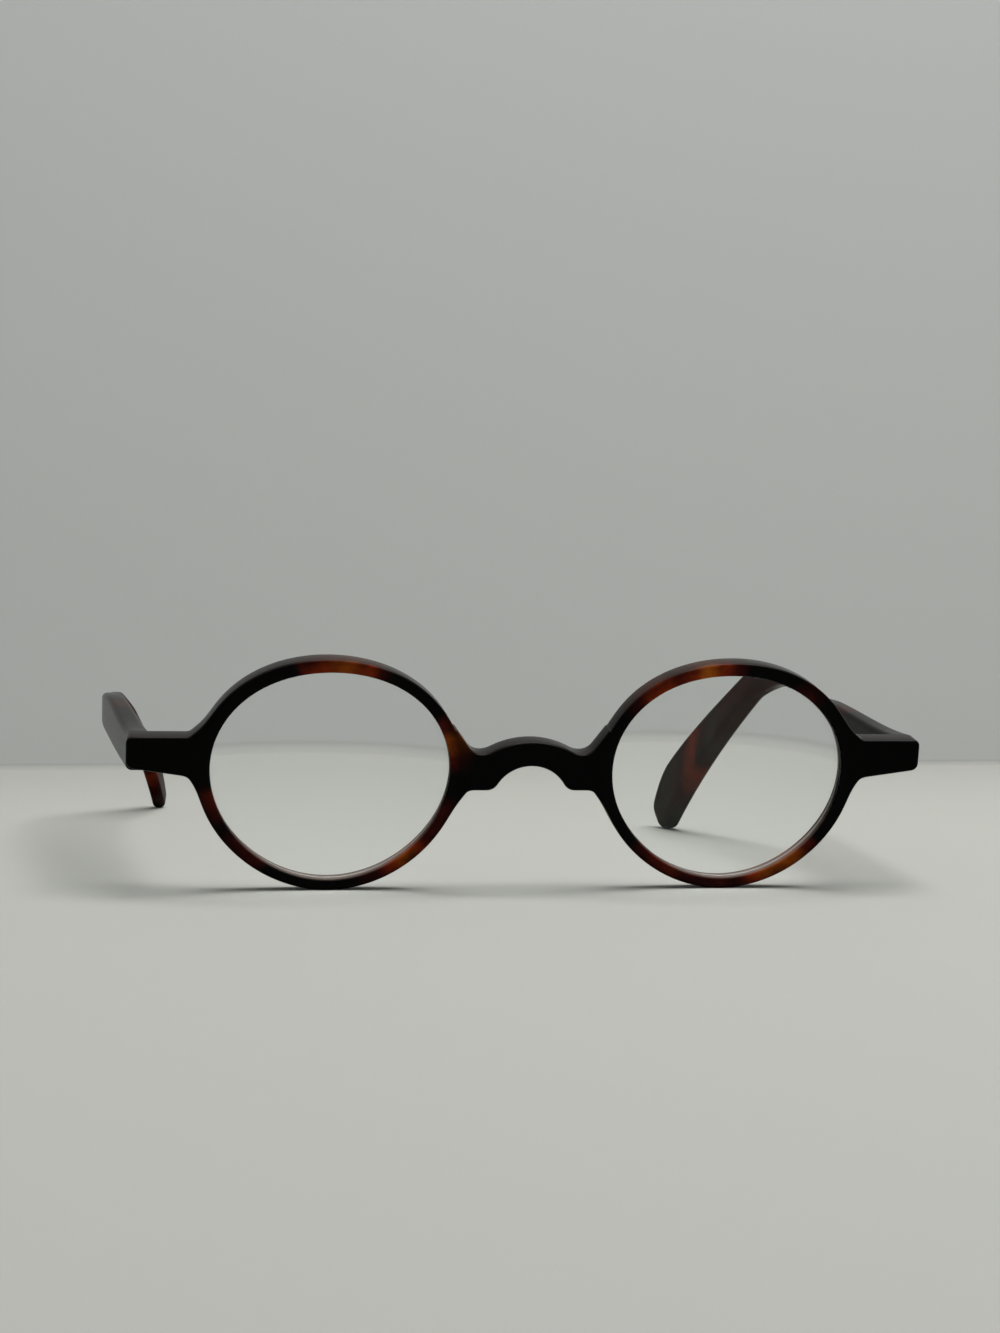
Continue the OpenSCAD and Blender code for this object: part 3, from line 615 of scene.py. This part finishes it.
def temple_surface():
    """Rings of a round-cornered rectangle along the temple. They close to a rounded end at the
    tip, start on the plane of the front's back, and are pressed in where the hinge plate lies."""
    pocket_z = hinge_z - temple_z
    ahead, butt_bevel, round_share, round_share_flat = 0.9, 0.15, 0.45, 0.36
    s = np.concatenate([
        [-ahead, -0.75, -0.6], np.linspace(-0.4, pocket_end, 14), [pocket_end + 1e-3],
        np.linspace(pocket_end + 1.5, temple_straight, 60)[:-1],
        np.linspace(temple_straight, widest, 80)[:-1], np.linspace(widest, temple_l - tip_r, 10)[:-1],
        temple_l - tip_r * (1 - np.sin(np.radians(np.linspace(0, 89, 14))))])[:, None]
    t = temple_t + (tip_t - temple_t) * np.maximum(0, s) / temple_l
    high = temple_height(s)
    past = np.maximum(0, s - temple_l + tip_r)
    nose = tip_r - np.sqrt(tip_r ** 2 - past ** 2)
    thin = nose * 0.5 * tip_t / tip_r
    butt = butt_bevel * (s < -0.8)
    r = np.minimum(np.minimum(temple_edge_r, t * round_share_flat), (high - 2 * nose) * round_share)
    r = np.minimum(r, (t - 2 * thin) * round_share)
    a = np.radians(np.linspace(0, 90, 8))
    corners = []
    for quarter, (inside, upper) in enumerate(((1, 1), (0, 1), (0, 0), (1, 0))):
        angle = a + quarter * math.pi / 2
        cx = np.where(inside, t - thin - butt - r, thin + butt + r)
        cz = np.where(upper, high - nose - butt - r, nose + butt + r)
        corners.append((cx + r * np.cos(angle), cz + r * np.sin(angle)))
    wall = plate_h / 2 + plate_gap
    levels = np.array([pocket_z - wall, pocket_z - wall, pocket_z + wall, pocket_z + wall])
    sunk = (s < pocket_end + 5e-4) * (plate_t + plate_gap)
    inner_h = np.where(s < pocket_end + 0.1, levels, high / 2 + np.array([-1, -1, 1, 1]) * high * 0.1)
    inner_x = np.broadcast_to(t - thin - butt, inner_h.shape) - sunk * np.array([0, 1, 1, 0])
    low_first = [corners[3], (inner_x, inner_h), corners[0], corners[1], corners[2]]
    inset = np.concatenate([np.broadcast_to(c[0], (len(s), c[0].shape[-1])) for c in low_first], 1)
    h = np.concatenate([np.broadcast_to(c[1], (len(s), c[1].shape[-1])) for c in low_first], 1)
    ring = at_temple(s, inset, h)
    stop_y = (front_t + stop_gap) / math.cos(lean) - (ring[..., 2] - front_z) * math.tan(lean)
    ring[..., 1] = np.where(s < 0, stop_y - middle_y + (s + ahead), ring[..., 1])
    return ring


temple_grid = temple_surface()
rings, around = temple_grid.shape[:2]
temple_quads = grid_faces(rings, around, wrap_rows=False, wrap_columns=True)
# Their tortoiseshell follows the length, in millimetres behind the front: dark at the hinge,
# with red-brown tongues towards the tip.
pattern_l = 142
temple_stops = [
    (0, "ink"), (34, "ink"), (42, "oxblood"), (52, "ink"), (70, "ink"), (80, "oxblood"),
    (114, "oxblood"), (117, "smoke"), (119, "oxblood"), (121.5, "rust"), (124, "oxblood"),
    (127, "smoke"), (pattern_l, "smoke")]
material, nodes, links = new_material("tortoiseshell_temple")
place, wavering = wavering_place(nodes, links, 0.005, 130, 3)
split = add(nodes, "ShaderNodeSeparateXYZ")
links.new(wavering, split.inputs[0])
forward = math_node(nodes, links, "ADD", split.outputs["Y"], middle_y / 1000)
along = math_node(nodes, links, "DIVIDE", forward, pattern_l / 1000, clamp=True)
ramp = tone_ramp(nodes, temple_stops, pattern_l)
links.new(along, ramp.inputs["Fac"])
polished_acetate(nodes, links, place, ramp.outputs["Color"], 0.01)
for side, name in ((-1, "right"), (1, "left")):
    points = temple_grid.reshape(-1, 3) * (side, 1, 1)
    last = len(points) - around
    hubs = np.array([points[:around].mean(0), points[last:].mean(0)])
    k = np.arange(around)
    butt_fan = np.c_[np.full(around, len(points)), k, (k + 1) % around]
    tip_fan = np.c_[np.full(around, len(points) + 1), last + k, last + (k + 1) % around]
    temple = new_piece("acetate_temple_" + name, np.vstack([points, hubs]),
                       [temple_quads, butt_fan, tip_fan])
    temple.data.materials.append(material)
    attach(temple, "temple_" + name)
    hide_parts("temple_" + name)

# Table and wall: a matt pale table top with a plain light grey wall close behind it, in one sheet
# that cameras see from its front only. They are the setting and not part of the object.
wall_y, wall_turn, wall_h, cove, reach, sheet_rows = 158.0, math.radians(4.4), 400, 1.5, 1500, 5


def table_and_wall():
    """One sheet: flat table, a small cove, then the upright wall, turned a little about +Z."""
    a = np.radians(np.linspace(0, 90, 12))
    y = np.concatenate([[-reach, -400, -100], wall_y - cove + cove * np.sin(a), [wall_y]])
    z = np.concatenate([[0, 0, 0], cove * (1 - np.cos(a)), [wall_h]])
    x = np.linspace(-reach, reach, sheet_rows)[:, None]
    return np.stack(np.broadcast_arrays(x, y + x * math.tan(wall_turn) * (y > 0), z), -1)


stage_grid = table_and_wall()
stage_quads = grid_faces(sheet_rows, stage_grid.shape[1], wrap_rows=False)
room = new_piece("table_and_wall", stage_grid.reshape(-1, 3), [stage_quads], sharp_angle=180)
if room.data.polygons[0].normal.z < 0:
    room.data.flip_normals()
material, nodes, links = new_material("pale_table_grey_wall")
place = add(nodes, "ShaderNodeTexCoord").outputs["Object"]
split = add(nodes, "ShaderNodeSeparateXYZ")
links.new(place, split.inputs[0])
rise = add(nodes, "ShaderNodeMapRange", {"From Min": 0.0005, "From Max": 0.0018})
links.new(split.outputs["Z"], rise.inputs["Value"])
two = add(nodes, "ShaderNodeMix", data_type="RGBA")
two.inputs[6].default_value = linear("9b9c96")
two.inputs[7].default_value = linear("c7c9c7")
links.new(rise.outputs[0], two.inputs["Factor"])
matt = add(nodes, "ShaderNodeBsdfPrincipled", {"Roughness": 0.7, "IOR": 1.4})
links.new(two.outputs[2], matt.inputs["Base Color"])
ray = add(nodes, "ShaderNodeLightPath")
facing_away = add(nodes, "ShaderNodeNewGeometry").outputs["Backfacing"]
behind = math_node(nodes, links, "MULTIPLY", facing_away, ray.outputs["Is Camera Ray"])
one_sided = add(nodes, "ShaderNodeMixShader")
links.new(behind, one_sided.inputs["Fac"])
links.new(matt.outputs[0], one_sided.inputs[1])
links.new(add(nodes, "ShaderNodeBsdfTransparent").outputs[0], one_sided.inputs[2])
output = add(nodes, "ShaderNodeOutputMaterial")
links.new(one_sided.outputs[0], output.inputs["Surface"])
room.data.materials.append(material)

# Light: a wide soft lamp overhead and a weaker one from the front left, in an even grey world that
# gives little light itself but looks brighter to the camera, in reflections and through glass.
for name, size, power, place, target in (
        ("overhead", 0.8, 17.3, (0.2, -0.07, 1.0), (0, 0, 0)),
        ("front_fill", 0.8, 0.8, (-0.7, -0.9, 0.9), (0, 0, 0.02))):
    lamp = bpy.data.lights.new(name, "AREA")
    lamp.shape, lamp.size, lamp.energy = "SQUARE", size, power
    holder = bpy.data.objects.new(name, lamp)
    holder.location = place
    holder.rotation_euler = (Vector(target) - Vector(place)).to_track_quat("-Z", "Y").to_euler()
    bpy.context.scene.collection.objects.link(holder)
world = bpy.data.worlds.new("even_grey")
bpy.context.scene.world = world
world.use_nodes = True
nodes, links = world.node_tree.nodes, world.node_tree.links
background = nodes["Background"]
background.inputs["Color"].default_value = (0.8, 0.82, 0.83, 1)
ray = add(nodes, "ShaderNodeLightPath")
seen = math_node(nodes, links, "MAXIMUM", ray.outputs["Is Camera Ray"], ray.outputs["Is Glossy Ray"])
seen = math_node(nodes, links, "MAXIMUM", seen, ray.outputs["Is Transmission Ray"])
strength = add(nodes, "ShaderNodeMapRange", {"To Min": 0.05, "To Max": 0.5})
links.new(seen, strength.inputs["Value"])
links.new(strength.outputs[0], background.inputs["Strength"])
bpy.context.scene.view_settings.view_transform = "Standard"

# Camera: low in front of the frame, a little to the wearer's right of its middle, and turned to
# look slightly down and across it.
yaw, pitch, roll = math.radians(9.006), math.radians(2.737), math.radians(0.952)
ahead = Vector((math.sin(yaw) * math.cos(pitch), math.cos(yaw) * math.cos(pitch), -math.sin(pitch)))
level = Vector((math.cos(yaw), -math.sin(yaw), 0))
upright = level.cross(ahead)
right = level * math.cos(roll) + upright * math.sin(roll)
up = upright * math.cos(roll) - level * math.sin(roll)
lens_data = bpy.data.cameras.new("camera")
lens_data.lens, lens_data.sensor_width = 64.8, 36.0
lens_data.clip_start = 0.01
camera = bpy.data.objects.new("camera", lens_data)
camera.matrix_world = Matrix((right, up, -ahead)).transposed().to_4x4()
camera.location = (-0.067, -0.451371, 0.055909)
bpy.context.scene.collection.objects.link(camera)
bpy.context.scene.camera = camera
